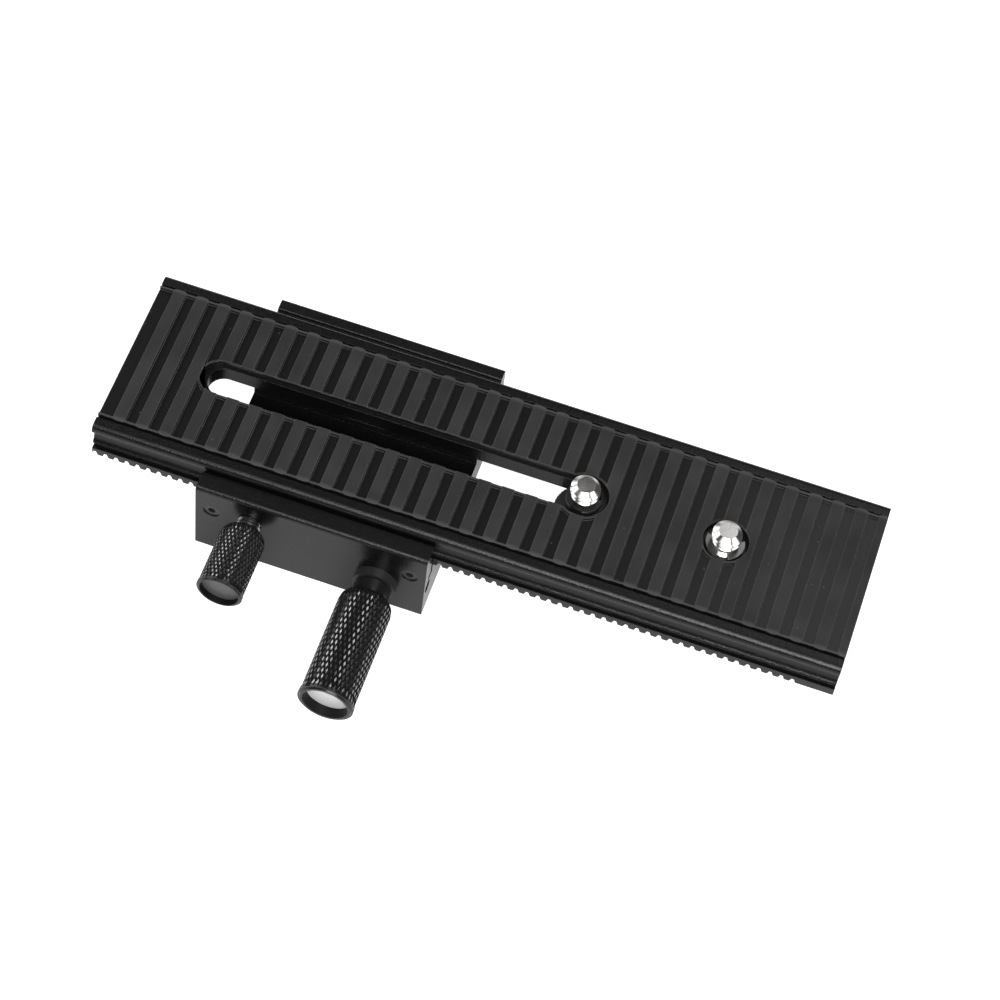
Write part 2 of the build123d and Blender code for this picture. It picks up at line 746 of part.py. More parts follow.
with BuildPart() as lock_knob:
    with BuildSketch(turning_plane(lock_x, lock_knob_y, lock_z)):
        with BuildLine():
            Polyline(
                (0, lock_bore_depth),
                (lock_screw_radius + fixed_gap, lock_bore_depth),
                (lock_screw_radius + fixed_gap, 0),
                (lock_neck_radius, 0),
            )
            TangentArc(
                (lock_neck_radius, 0),
                (lock_knob_radius, lock_shoulder_length),
                tangent=(1, 0.9),
            )
            Polyline(
                (lock_knob_radius, lock_shoulder_length),
                (lock_knob_radius, lock_knob_length - rim_chamfer),
                (lock_knob_radius - rim_chamfer, lock_knob_length),
                (lock_disc_radius + fixed_gap, lock_knob_length),
                (lock_disc_radius + fixed_gap, lock_knob_length - lock_disc_inset - disc_thickness),
                (0, lock_knob_length - lock_disc_inset - disc_thickness),
                (0, lock_bore_depth),
            )
        make_face()
    revolve(axis=Axis((lock_x, 0, lock_z), (0, 1, 0)))
lock_knob.part.label = "lock_knob"
export_step(lock_knob.part, "parts/lock_knob.step")

with BuildPart() as lock_knob_disc:
    lock_disc_back = lock_knob_length - lock_disc_inset - disc_thickness
    with BuildSketch(front_plane(lock_x, lock_knob_y - lock_disc_back, lock_z)):
        Circle(lock_disc_radius)
    extrude(amount=disc_thickness)
lock_knob_disc.part.label = "lock_knob_disc"
export_step(lock_knob_disc.part, "parts/lock_knob_disc.step")
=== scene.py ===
# %% [markdown]
# # A macro focusing rail
#
# A focusing rail carries a camera a few millimetres nearer to its subject or further away.
# A grooved plate slides through a clamped carriage; a rack and a knob drive it, and a second
# knob locks it. The engineering model is loaded first and stays the fixed frame: every
# piece made here sits where that model says.

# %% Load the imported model
import math

import bmesh
import bpy
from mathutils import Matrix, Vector


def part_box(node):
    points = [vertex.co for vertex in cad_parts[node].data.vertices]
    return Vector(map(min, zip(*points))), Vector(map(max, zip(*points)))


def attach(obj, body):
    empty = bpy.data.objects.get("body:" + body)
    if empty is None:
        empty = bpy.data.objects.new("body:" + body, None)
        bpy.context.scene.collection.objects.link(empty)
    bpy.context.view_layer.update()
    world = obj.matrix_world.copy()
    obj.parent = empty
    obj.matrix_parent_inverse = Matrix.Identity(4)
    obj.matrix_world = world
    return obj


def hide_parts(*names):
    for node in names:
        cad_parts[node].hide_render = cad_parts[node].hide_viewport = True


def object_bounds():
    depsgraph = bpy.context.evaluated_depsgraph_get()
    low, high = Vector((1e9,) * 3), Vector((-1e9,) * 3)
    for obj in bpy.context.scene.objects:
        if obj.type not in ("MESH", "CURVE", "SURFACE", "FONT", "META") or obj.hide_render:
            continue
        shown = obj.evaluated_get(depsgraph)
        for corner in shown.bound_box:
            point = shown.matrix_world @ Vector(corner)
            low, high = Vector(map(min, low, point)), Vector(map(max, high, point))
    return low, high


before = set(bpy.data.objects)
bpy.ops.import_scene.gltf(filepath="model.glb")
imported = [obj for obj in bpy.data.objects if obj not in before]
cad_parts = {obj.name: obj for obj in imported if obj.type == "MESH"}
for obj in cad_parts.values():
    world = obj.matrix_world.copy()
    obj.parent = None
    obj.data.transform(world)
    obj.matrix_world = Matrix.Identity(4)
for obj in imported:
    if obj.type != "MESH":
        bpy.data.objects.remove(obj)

MM = 0.001
cad_low, cad_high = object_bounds()
print("model box in mm:", [round(v / MM, 1) for v in (*cad_low, *cad_high)])

# %% [markdown]
# ## The camera
#
# The product was photographed from above and in front of the knobs, through a long lens.
# A camera that copies that view needs only a place, three angles and a focal length, so
# they are kept as plain numbers and the lens keeps its axis in the middle of the picture.

# %% Camera
camera_place = (0.09517, -0.34024, 0.55033)
camera_turn = (math.radians(32.3760), math.radians(-4.9563), math.radians(18.1351))
bpy.ops.object.camera_add(location=camera_place, rotation=camera_turn)
camera = bpy.context.object
camera.name = "studio_camera"
camera.data.lens = 110.53
camera.data.sensor_width = 36.0
bpy.context.scene.camera = camera
print("camera looks along", [round(v, 3) for v in camera.matrix_world.to_quaternion() @ Vector((0, 0, -1))])

# %% [markdown]
# ## Picking things up and putting them down
#
# Modelling by hand is a round of the same few moves: take one piece, choose some of its
# corners or faces, and act on them. These helpers do the choosing by place, so that every
# step below reads like the move a modeller would make.

# %% Work on one piece, and choose parts of it
def put_all_down():
    if bpy.context.object and bpy.context.object.mode != "OBJECT":
        bpy.ops.object.mode_set(mode="OBJECT")
    bpy.ops.object.select_all(action="DESELECT")


def work_on(piece):
    put_all_down()
    piece.select_set(True)
    bpy.context.view_layer.objects.active = piece


def open_up(piece):
    work_on(piece)
    bpy.ops.object.mode_set(mode="EDIT")
    bpy.ops.mesh.select_mode(type="VERT")
    bpy.ops.mesh.select_all(action="SELECT")


def choose(piece, kind, test):
    """Select the corners, edges or faces of a piece whose middle passes a test."""
    bpy.ops.mesh.select_mode(type=kind)
    bpy.ops.mesh.select_all(action="DESELECT")
    mesh = bmesh.from_edit_mesh(piece.data)
    parts = {"VERT": mesh.verts, "EDGE": mesh.edges, "FACE": mesh.faces}[kind]
    found = 0
    for part in parts:
        corners = [part.co] if kind == "VERT" else [v.co for v in part.verts]
        middle = sum(corners, Vector()) / len(corners)
        if test(middle, part):
            part.select_set(True)
            found += 1
    mesh.select_flush_mode()
    bmesh.update_edit_mesh(piece.data)
    return found


put_all_down()
print("nodes from the model:", len(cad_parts))


# %% Start a piece, cut it, and finish it
def started(name):
    """The primitive just added, with its place put into its mesh."""
    piece = bpy.context.object
    piece.name = name
    work_on(piece)
    bpy.ops.object.transform_apply(location=True, rotation=True, scale=True)
    return piece


def fit_tool(piece, tool, how="DIFFERENCE"):
    """Cut a piece with a tool, join the two, or keep what they share."""
    work_on(piece)
    step = piece.modifiers.new(how, "BOOLEAN")
    step.operation = how
    step.solver = "EXACT"
    step.object = tool
    bpy.ops.object.modifier_apply(modifier=step.name)
    bpy.data.objects.remove(tool, do_unlink=True)


def round_edges(piece, width, angle, segments=2):
    work_on(piece)
    step = piece.modifiers.new("rounding", "BEVEL")
    step.width = width * MM
    step.segments = segments
    step.limit_method = "ANGLE"
    step.angle_limit = math.radians(angle)
    step.use_clamp_overlap = False
    bpy.ops.object.modifier_apply(modifier=step.name)


def second_finish(piece, first, second):
    """Give the chosen faces of a piece that is open for editing a finish of their own."""
    if len(piece.data.materials) < 2:
        piece.data.materials.clear()
        piece.data.materials.append(first)
        piece.data.materials.append(second)
    piece.active_material_index = 1
    bpy.ops.object.material_slot_assign()


def hand_over(piece, body, finish, nodes, smooth=30):
    """Close a piece's seams, give it its finish, and let it ride on its body."""
    open_up(piece)
    bpy.ops.mesh.remove_doubles(threshold=0.0005 * MM)
    bpy.ops.mesh.normals_make_consistent(inside=False)
    bpy.ops.object.mode_set(mode="OBJECT")
    bpy.ops.object.shade_smooth_by_angle(angle=math.radians(smooth))
    if len(piece.data.materials) < 2:
        piece.data.materials.clear()
        piece.data.materials.append(finish)
    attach(piece, body)
    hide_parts(*nodes)
    mesh = bmesh.new()
    mesh.from_mesh(piece.data)
    open_edges = sum(1 for edge in mesh.edges if len(edge.link_faces) != 2)
    mesh.free()
    print(piece.name, "has", len(piece.data.polygons), "faces and", open_edges, "open edges")


# %% [markdown]
# ## Turned pieces
#
# Screws, knobs and bushes come off a lathe. In Blender the same shape grows from one ring
# of corners that is extruded from station to station and scaled to each new radius. That
# keeps neat rings of faces, which the knurling needs later.

# %% Turn a piece
UP = Vector((0, 0, 1))
FRONT = Vector((0, -1, 0))


def turned(name, foot, along, stations, sides):
    """A closed turned piece. Each station is a distance from the foot and a radius."""
    distance, radius = stations[0]
    foot = Vector(foot) * MM
    tilt = (0, 0, 0) if along == UP else (math.pi / 2, 0, 0)
    put_all_down()
    bpy.ops.mesh.primitive_circle_add(
        vertices=sides,
        radius=radius * MM,
        fill_type="NGON",
        location=foot + along * distance * MM,
        rotation=tilt,
    )
    piece = started(name)
    open_up(piece)
    bpy.ops.mesh.select_mode(type="EDGE")
    bpy.ops.mesh.select_all(action="SELECT")
    for next_distance, next_radius in stations[1:]:
        step = along * (next_distance - distance) * MM
        bpy.ops.mesh.extrude_edges_move(TRANSFORM_OT_translate={"value": step})
        share = next_radius / radius
        if abs(share - 1) > 1e-9:
            middle = foot + along * next_distance * MM
            bpy.ops.transform.resize(value=(share, share, share), center_override=middle)
        distance, radius = next_distance, next_radius
    bpy.ops.mesh.edge_face_add()
    bpy.ops.mesh.select_all(action="SELECT")
    bpy.ops.mesh.normals_make_consistent(inside=False)
    put_all_down()
    return piece


# %% [markdown]
# ## Surface effects
#
# Four effects make up the finishes: the fine grain of blasted aluminium with a slow change
# of tone, the rings that a lathe leaves, specks of dust, and a mask of edges for painted
# highlights. Each is a node group made once, with its own sizes as inputs, and every material
# that needs it gives it its own values.

# %% A place to keep node groups
def effect(name, inputs, outputs):
    group = bpy.data.node_groups.new(name, "ShaderNodeTree")
    for label, value in inputs.items():
        kind = "NodeSocketColor" if isinstance(value, tuple) else "NodeSocketFloat"
        if label == "Place":
            kind = "NodeSocketVector"
        socket = group.interface.new_socket(label, in_out="INPUT", socket_type=kind)
        if label != "Place":
            socket.default_value = value
    for label, kind in outputs.items():
        group.interface.new_socket(label, in_out="OUTPUT", socket_type=kind)
    source = group.nodes.new("NodeGroupInput")
    result = group.nodes.new("NodeGroupOutput")
    return group, source, result


def wire(tree, start, end):
    tree.links.new(start, end)


def number(tree, operation, first, second=None, clamp=False):
    node = tree.nodes.new("ShaderNodeMath")
    node.operation = operation
    node.use_clamp = clamp
    for socket, value in zip(node.inputs, (first, second)):
        if value is None:
            continue
        if isinstance(value, (int, float)):
            socket.default_value = value
        else:
            wire(tree, value, socket)
    return node.outputs[0]


# %% Grain of a blasted surface
def cloud(tree, place, scale, detail=2.0, roughness=0.5):
    node = tree.nodes.new("ShaderNodeTexNoise")
    node.inputs["Detail"].default_value = detail
    node.inputs["Roughness"].default_value = roughness
    if isinstance(scale, (int, float)):
        node.inputs["Scale"].default_value = scale
    else:
        wire(tree, scale, node.inputs["Scale"])
    wire(tree, place, node.inputs["Vector"])
    return node.outputs["Fac"]


blast_grain, grain_in, grain_out = effect(
    "blast_grain",
    {"Place": None, "Grain per metre": 2400.0, "Patch per metre": 60.0},
    {"Height": "NodeSocketFloat", "Patches": "NodeSocketFloat"},
)
fine = cloud(blast_grain, grain_in.outputs["Place"], grain_in.outputs["Grain per metre"], 3.0, 0.6)
patch = cloud(blast_grain, grain_in.outputs["Place"], grain_in.outputs["Patch per metre"], 2.0)
wire(blast_grain, fine, grain_out.inputs["Height"])
wire(blast_grain, patch, grain_out.inputs["Patches"])
print("effect:", blast_grain.name)

# %% Rings left by a lathe, about an axis along Y or Z through the piece's own middle
turning_rings, rings_in, rings_out = effect(
    "turning_rings",
    {"Place": None, "Rings per metre": 9000.0},
    {"Height": "NodeSocketFloat"},
)
ring_wave = turning_rings.nodes.new("ShaderNodeTexWave")
ring_wave.wave_type = "RINGS"
ring_wave.rings_direction = "SPHERICAL"
ring_wave.wave_profile = "SIN"
ring_wave.inputs["Distortion"].default_value = 1.5
ring_wave.inputs["Detail"].default_value = 2.0
wire(turning_rings, rings_in.outputs["Place"], ring_wave.inputs["Vector"])
wire(turning_rings, rings_in.outputs["Rings per metre"], ring_wave.inputs["Scale"])
wire(turning_rings, ring_wave.outputs["Fac"], rings_out.inputs["Height"])
print("effect:", turning_rings.name)

# %% Specks of dust
dust_specks, dust_in, dust_out = effect(
    "dust_specks",
    {"Place": None, "Specks per metre": 260.0, "Size": 0.09},
    {"Mask": "NodeSocketFloat"},
)
speck_cells = dust_specks.nodes.new("ShaderNodeTexVoronoi")
speck_cells.inputs["Randomness"].default_value = 1.0
wire(dust_specks, dust_in.outputs["Place"], speck_cells.inputs["Vector"])
wire(dust_specks, dust_in.outputs["Specks per metre"], speck_cells.inputs["Scale"])
near = number(dust_specks, "LESS_THAN", speck_cells.outputs["Distance"], dust_in.outputs["Size"])
wire(dust_specks, near, dust_out.inputs["Mask"])
print("effect:", dust_specks.name)

# %% Painted highlights along edges, where a softened normal parts from the true one
edge_highlight, highlight_in, highlight_out = effect(
    "edge_highlight",
    {"Width": 0.3 * MM},
    {"Mask": "NodeSocketFloat"},
)
rounded = edge_highlight.nodes.new("ShaderNodeBevel")
rounded.samples = 6
wire(edge_highlight, highlight_in.outputs["Width"], rounded.inputs["Radius"])
true_normal = edge_highlight.nodes.new("ShaderNodeNewGeometry").outputs["Normal"]
agreement = edge_highlight.nodes.new("ShaderNodeVectorMath")
agreement.operation = "DOT_PRODUCT"
wire(edge_highlight, rounded.outputs["Normal"], agreement.inputs[0])
wire(edge_highlight, true_normal, agreement.inputs[1])
apart = number(edge_highlight, "SUBTRACT", 1.0, agreement.outputs["Value"])
lit_edge = number(edge_highlight, "MULTIPLY", apart, 6.0, clamp=True)
wire(edge_highlight, lit_edge, highlight_out.inputs["Mask"])
print("effect:", edge_highlight.name)

# %% [markdown]
# ## Finishes
#
# Black anodising is a dyed glassy skin on aluminium: nearly no colour of its own, with a
# soft gloss that shows the studio. The blasted faces scatter that gloss into a fine
# sparkle, the milled ones keep it smoother. Rubber is duller and a little lighter.

# %% Start a material
def new_finish(name):
    material = bpy.data.materials.new(name)
    material.use_nodes = True
    tree = material.node_tree
    shader = tree.nodes["Principled BSDF"]
    place = tree.nodes.new("ShaderNodeTexCoord").outputs["Object"]
    return material, tree, shader, place


def use_effect(tree, group, place=None, **values):
    node = tree.nodes.new("ShaderNodeGroup")
    node.node_tree = group
    if place is not None:
        wire(tree, place, node.inputs["Place"])
    for label, value in values.items():
        node.inputs[label.replace("_", " ")].default_value = value
    return node.outputs


def between(tree, share, low, high):
    """Run from one value to another as a mask goes from 0 to 1."""
    node = tree.nodes.new("ShaderNodeMapRange")
    wire(tree, share, node.inputs["Value"])
    node.inputs["To Min"].default_value = low
    node.inputs["To Max"].default_value = high
    return node


def tones(tree, share, dark, light):
    node = tree.nodes.new("ShaderNodeMix")
    node.data_type = "RGBA"
    wire(tree, share, node.inputs["Factor"])
    node.inputs["A"].default_value = (*dark, 1)
    node.inputs["B"].default_value = (*light, 1)
    return node.outputs["Result"]


def raised(tree, shader, height, strength, depth, edge=0.0):
    """Feed a height through a bump into the shader's normal; edge softens sharp edges."""
    bump = tree.nodes.new("ShaderNodeBump")
    if edge:
        softened = tree.nodes.new("ShaderNodeBevel")
        softened.samples = 6
        softened.inputs["Radius"].default_value = edge * MM
        wire(tree, softened.outputs["Normal"], bump.inputs["Normal"])
    bump.inputs["Strength"].default_value = strength
    bump.inputs["Distance"].default_value = depth * MM
    wire(tree, height, bump.inputs["Height"])
    wire(tree, bump.outputs["Normal"], shader.inputs["Normal"])
    return bump


# %% Blasted black anodising, with smoother milled faces
def anodised(name, colour, gloss, grain, grain_depth):
    material, tree, shader, place = new_finish(name)
    surface = use_effect(tree, blast_grain, place, Grain_per_metre=grain, Patch_per_metre=45.0)
    patches = between(tree, surface["Patches"], gloss - 0.05, gloss + 0.05)
    wire(tree, patches.outputs["Result"], shader.inputs["Roughness"])
    lighter = tuple(c * 1.5 for c in colour)
    wire(tree, tones(tree, surface["Height"], colour, lighter), shader.inputs["Base Color"])
    # faces that look along X or Y are milled: the grain there is shallower
    facing = tree.nodes.new("ShaderNodeSeparateXYZ")
    coordinates = tree.nodes.new("ShaderNodeTexCoord")
    wire(tree, coordinates.outputs["Normal"], facing.inputs["Vector"])
    upright = number(tree, "ABSOLUTE", facing.outputs["Z"])
    depth = between(tree, upright, 0.3, 1.0)
    grain_height = number(tree, "MULTIPLY", surface["Height"], depth.outputs["Result"])
    raised(tree, shader, grain_height, 1.0, grain_depth, 0.2)
    shader.inputs["Specular IOR Level"].default_value = 0.32
    return material


black_anodising = anodised("black_anodising", (0.0028, 0.0028, 0.003), 0.22, 2600.0, 0.08)
print("finish:", black_anodising.name)


# %% Glossier anodising of the knobs
def knob_finish():
    material, tree, shader, place = new_finish("knob_anodising")
    surface = use_effect(tree, blast_grain, place, Grain_per_metre=5000.0, Patch_per_metre=200.0)
    patches = between(tree, surface["Patches"], 0.16, 0.24)
    wire(tree, patches.outputs["Result"], shader.inputs["Roughness"])
    dark, light = (0.006, 0.006, 0.0065), (0.012, 0.012, 0.0125)
    wire(tree, tones(tree, surface["Patches"], dark, light), shader.inputs["Base Color"])
    raised(tree, shader, surface["Height"], 0.4, 0.01)
    shader.inputs["Specular IOR Level"].default_value = 0.35
    return material


knob_anodising = knob_finish()
print("finish:", knob_anodising.name)


# %% Ribbed rubber: worn, chalky rib tops above smooth dark grooves, with painted highlights on the edges and rib ends
rib_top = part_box("grip_pad")[1][2]
mat_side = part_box("grip_pad")[1][1]


def rubber_finish():
    material, tree, shader, place = new_finish("ribbed_rubber")
    surface = use_effect(tree, blast_grain, place, Grain_per_metre=3200.0, Patch_per_metre=90.0)
    specks = use_effect(tree, dust_specks, place, Specks_per_metre=240.0, Size=0.05)
    height = tree.nodes.new("ShaderNodeSeparateXYZ")
    wire(tree, place, height.inputs["Vector"])
    worn = between(tree, height.outputs["Z"], 0.0, 1.0)
    worn.inputs["From Min"].default_value = rib_top - 0.45 * MM
    worn.inputs["From Max"].default_value = rib_top - 0.1 * MM
    chalky = tones(tree, surface["Patches"], (0.013, 0.013, 0.0135), (0.040, 0.040, 0.0405))
    rubber = tree.nodes.new("ShaderNodeMix")
    rubber.data_type = "RGBA"
    rubber.inputs["A"].default_value = (0.0045, 0.0045, 0.005, 1)
    wire(tree, chalky, rubber.inputs["B"])
    wire(tree, worn.outputs["Result"], rubber.inputs["Factor"])
    # dust specks and painted highlights share this pale colour
    dust_and_edge_light = tree.nodes.new("ShaderNodeMix")
    dust_and_edge_light.data_type = "RGBA"
    dust_and_edge_light.inputs["B"].default_value = (0.12, 0.12, 0.115, 1)
    wire(tree, rubber.outputs["Result"], dust_and_edge_light.inputs["A"])
    # painted highlights: pale along every edge of the mat, and over the rib tops close to the long sides
    edge_light = use_effect(tree, edge_highlight)
    faint_edge_light = number(tree, "MULTIPLY", edge_light["Mask"], 0.8)
    sideways = number(tree, "ABSOLUTE", height.outputs["Y"])
    rib_end_highlight = between(tree, sideways, 0.0, 0.25)
    rib_end_highlight.inputs["From Min"].default_value = mat_side - 0.9 * MM
    rib_end_highlight.inputs["From Max"].default_value = mat_side - 0.3 * MM
    rib_end_highlight = number(tree, "MULTIPLY", rib_end_highlight.outputs["Result"], worn.outputs["Result"])
    faint_edge_light = number(tree, "MAXIMUM", faint_edge_light, rib_end_highlight)
    faint_specks = number(tree, "MULTIPLY", specks["Mask"], 0.3)
    wire(tree, number(tree, "MAXIMUM", faint_specks, faint_edge_light), dust_and_edge_light.inputs["Factor"])
    wire(tree, dust_and_edge_light.outputs["Result"], shader.inputs["Base Color"])
    dull = between(tree, worn.outputs["Result"], 0.45, 0.85)
    wire(tree, dull.outputs["Result"], shader.inputs["Roughness"])
    shader.inputs["Specular IOR Level"].default_value = 0.12
    skin = between(tree, worn.outputs["Result"], 0.4, 0.0)
    wire(tree, skin.outputs["Result"], shader.inputs["Coat Weight"])
    shader.inputs["Coat Roughness"].default_value = 0.2
    raised(tree, shader, surface["Height"], 0.8, 0.03)
    return material


ribbed_rubber = rubber_finish()
print("finish:", ribbed_rubber.name)


# %% Metals: bright nickel, blackened steel, brass and bare aluminium
def metal(name, colour, gloss, spread, grain, depth, metallic=1.0):
    material, tree, shader, place = new_finish(name)
    shader.inputs["Metallic"].default_value = metallic
    surface = use_effect(tree, blast_grain, place, Grain_per_metre=grain, Patch_per_metre=300.0)
    rough = between(tree, surface["Patches"], gloss - spread, gloss + spread)
    wire(tree, rough.outputs["Result"], shader.inputs["Roughness"])
    darker = tuple(c * 0.8 for c in colour)
    wire(tree, tones(tree, surface["Patches"], darker, colour), shader.inputs["Base Color"])
    raised(tree, shader, surface["Height"], 0.5, depth)
    return material


worn_crests = metal("worn_crests", (0.32, 0.32, 0.32), 0.2, 0.06, 5000.0, 0.01)
# a dull black that paints the shade inside the knobs' end recesses
recess_shade_black = metal("recess_shade_black", (0.004, 0.004, 0.004), 0.45, 0.05, 4000.0, 0.005, 0.0)
recess_shade_black.node_tree.nodes["Principled BSDF"].inputs["Specular IOR Level"].default_value = 0.2
bright_nickel = metal("bright_nickel", (0.74, 0.73, 0.71), 0.18, 0.08, 4000.0, 0.01)
black_oxide = metal("black_oxide", (0.03, 0.03, 0.03), 0.34, 0.08, 4000.0, 0.01, 0.4)
turned_brass = metal("turned_brass", (0.76, 0.55, 0.24), 0.28, 0.06, 3000.0, 0.01)
dark_steel = metal("dark_steel", (0.30, 0.30, 0.30), 0.3, 0.05, 4000.0, 0.01)
print("finishes:", bright_nickel.name, black_oxide.name, turned_brass.name, dark_steel.name)


# %% Finely turned aluminium of the two discs
def disc_finish(name, middle, colour, gloss):
    material, tree, shader, place = new_finish(name)
    shader.inputs["Metallic"].default_value = 0.2
    centring = tree.nodes.new("ShaderNodeMapping")
    centring.inputs["Location"].default_value = [-v * MM for v in middle]
    wire(tree, place, centring.inputs["Vector"])
    rings = use_effect(tree, turning_rings, centring.outputs["Vector"], Rings_per_metre=2600.0)
    rough = between(tree, rings["Height"], gloss - 0.05, gloss + 0.08)
    wire(tree, rough.outputs["Result"], shader.inputs["Roughness"])
    darker = tuple(c * 0.9 for c in colour)
    wire(tree, tones(tree, rings["Height"], darker, colour), shader.inputs["Base Color"])
    raised(tree, shader, rings["Height"], 0.5, 0.004)
    return material


def middle_of(node):
    low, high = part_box(node)
    return [(a + b) / 2 / MM for a, b in zip(low, high)]


bright_disc = disc_finish("turned_disc", middle_of("drive_knob_disc"), (0.76, 0.76, 0.76), 0.32)
grey_disc = disc_finish("turned_grey_disc", middle_of("lock_knob_disc"), (0.09, 0.09, 0.09), 0.38)
print("discs centred on", [round(v, 2) for v in middle_of("drive_knob_disc")])

# %% Give every node of the model its finish
finishes = {
    "carriage_body": black_anodising,
    "gib_strip": black_anodising,
    "rail_plate": black_anodising,
    "gib_screws": black_oxide,
    "bush_screw": black_oxide,
    "front_bush": black_oxide,
    "knob_grub": black_oxide,
    "slot_clip": black_oxide,
    "lock_screw": dark_steel,
    "rear_bush": turned_brass,
    "pinion": turned_brass,
    "thrust_washer": turned_brass,
    "lock_pad": turned_brass,
    "tripod_bush": bright_nickel,
    "slot_screw": bright_nickel,
    "end_screw": bright_nickel,
    "end_clip": bright_nickel,
    "drive_shaft": bright_nickel,
    "grip_pad": ribbed_rubber,
    "drive_knob": knob_anodising,
    "lock_knob": knob_anodising,
    "drive_knob_disc": bright_disc,
    "lock_knob_disc": grey_disc,
}
for node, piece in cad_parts.items():
    for material_slot in piece.material_slots:
        material_slot.material = finishes[node]
print("finished nodes:", len(finishes), "of", len(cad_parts))

# %% [markdown]
# ## The ribbed grip mat
#
# A strip of moulded rubber lies in the plate's recess, so that a camera doesn't slip. It
# has 32 cross ribs, a thin rim that ties their ends together, and a rim round each
# opening. A block is cut across at every rib's edges; then ribs and rims rise together
# by one extrusion and the ribs alone by a second, which leaves one closed skin.

# %% Sizes of the mat
mat_low, mat_high = (Vector(corner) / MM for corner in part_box("grip_pad"))
mat_base = 0.7
rim_rise = 0.7
rim_width = 0.5
rib_width = 2.7
rib_pitch = 5.0
rib_count = 32
rib_cut = 0.85  # the end of the mat cuts this much off the last rib
rib_middles = [mat_high.x + rib_cut - rib_width / 2 - rib_pitch * i for i in range(rib_count)]
mat_half = mat_high.y
rib_rise = mat_high.z - mat_low.z - mat_base - rim_rise
print("mat from", round(mat_low.x, 2), "to", round(mat_high.x, 2), "ribs rise", round(rib_rise, 2))


def in_a_rib(x):
    return any(abs(x / MM - middle) < rib_width / 2 for middle in rib_middles)


# %% Block out the mat and cut it at the ribs
block_middle = Vector(((mat_low.x + mat_high.x) / 2, 0, mat_low.z + mat_base / 2)) * MM
put_all_down()
bpy.ops.mesh.primitive_cube_add(size=MM, location=block_middle)
grip_mat = started("grip_mat")
open_up(grip_mat)
bpy.ops.transform.resize(
    value=(mat_high.x - mat_low.x, 2 * mat_half, mat_base), center_override=block_middle
)
bulge_steps = (-0.85, 0.0, 0.85)
for middle in rib_middles:
    for offset in (-rib_width / 2, *bulge_steps, rib_width / 2):
        if mat_low.x + 0.01 < middle + offset < mat_high.x - 0.01:
            bpy.ops.mesh.select_all(action="SELECT")
            bpy.ops.mesh.bisect(plane_co=((middle + offset) * MM, 0, 0), plane_no=(1, 0, 0))
for side in (-1, 1):
    bpy.ops.mesh.select_all(action="SELECT")
    bpy.ops.mesh.bisect(plane_co=(0, side * (mat_half - rim_width) * MM, 0), plane_no=(0, 1, 0))
print("cells:", len(bmesh.from_edit_mesh(grip_mat.data).faces))

# %% Raise the ribs and the long rims
base_top = (mat_low.z + mat_base) * MM
found = choose(
    grip_mat,
    "FACE",
    lambda c, f: abs(c.z - base_top) < 1e-6
    and (in_a_rib(c.x) or abs(c.y) > (mat_half - rim_width) * MM),
)
bpy.ops.mesh.extrude_region_move(TRANSFORM_OT_translate={"value": (0, 0, rim_rise * MM)})
rim_top = base_top + rim_rise * MM
choose(grip_mat, "FACE", lambda c, f: abs(c.z - rim_top) < 1e-6 and in_a_rib(c.x))
bpy.ops.mesh.extrude_region_move(TRANSFORM_OT_translate={"value": (0, 0, rib_rise * MM)})
print("raised cells:", found)

# %% Let the rib ends swell a little past the rim
for reach, swell in ((0.0, 0.24), (0.85, 0.18)):
    for side in (-1, 1):
        choose(
            grip_mat,
            "VERT",
            lambda c, v: abs(c.y - side * mat_half * MM) < 1e-6
            and c.z > base_top + 1e-6
            and any(abs(abs(c.x / MM - middle) - reach) < 0.05 for middle in rib_middles),
        )
        bpy.ops.transform.translate(value=(0, side * swell * MM, 0))
put_all_down()


# %% Rims round the openings, then the openings themselves
def slot_block(name, left, right, radius, low, high):
    """A block with round ends: a cylinder whose right half is pulled along X."""
    put_all_down()
    bpy.ops.mesh.primitive_cylinder_add(
        vertices=72,
        radius=radius * MM,
        depth=(high - low) * MM,
        location=(left * MM, 0, (low + high) / 2 * MM),
    )
    block = started(name)
    if right > left:
        open_up(block)
        choose(block, "VERT", lambda c, v: c.x > left * MM - 1e-6)
        bpy.ops.transform.translate(value=((right - left) * MM, 0, 0))
        put_all_down()
    return block


slot_screw_x = middle_of("slot_screw")[0]
end_screw_x = middle_of("end_screw")[0]
slot_open_left = -29.5
openings = (
    (slot_open_left, slot_screw_x, 4.07),
    (slot_screw_x, slot_screw_x, 5.1),
    (end_screw_x, end_screw_x, 4.8),
)
rim_low, rim_high = mat_low.z + 0.3, mat_low.z + mat_base + rim_rise
for left, right, radius in openings:
    rim = slot_block("rim", left, right, radius + rim_width, rim_low, rim_high)
    fit_tool(grip_mat, rim, "UNION")
for left, right, radius in openings:
    fit_tool(grip_mat, slot_block("opening", left, right, radius, mat_low.z - 1, mat_high.z + 1))
round_edges(grip_mat, 0.12, 50)
hand_over(grip_mat, "rail", ribbed_rubber, ["grip_pad"], 20)


# %% [markdown]
# ## Threads
#
# A thread is one small profile wound round an axis. The Screw modifier winds one pitch of
# it and joins the turns, which gives a rod; a turned blank that shares its space then
# trims the rod's ends and chamfers its tip.

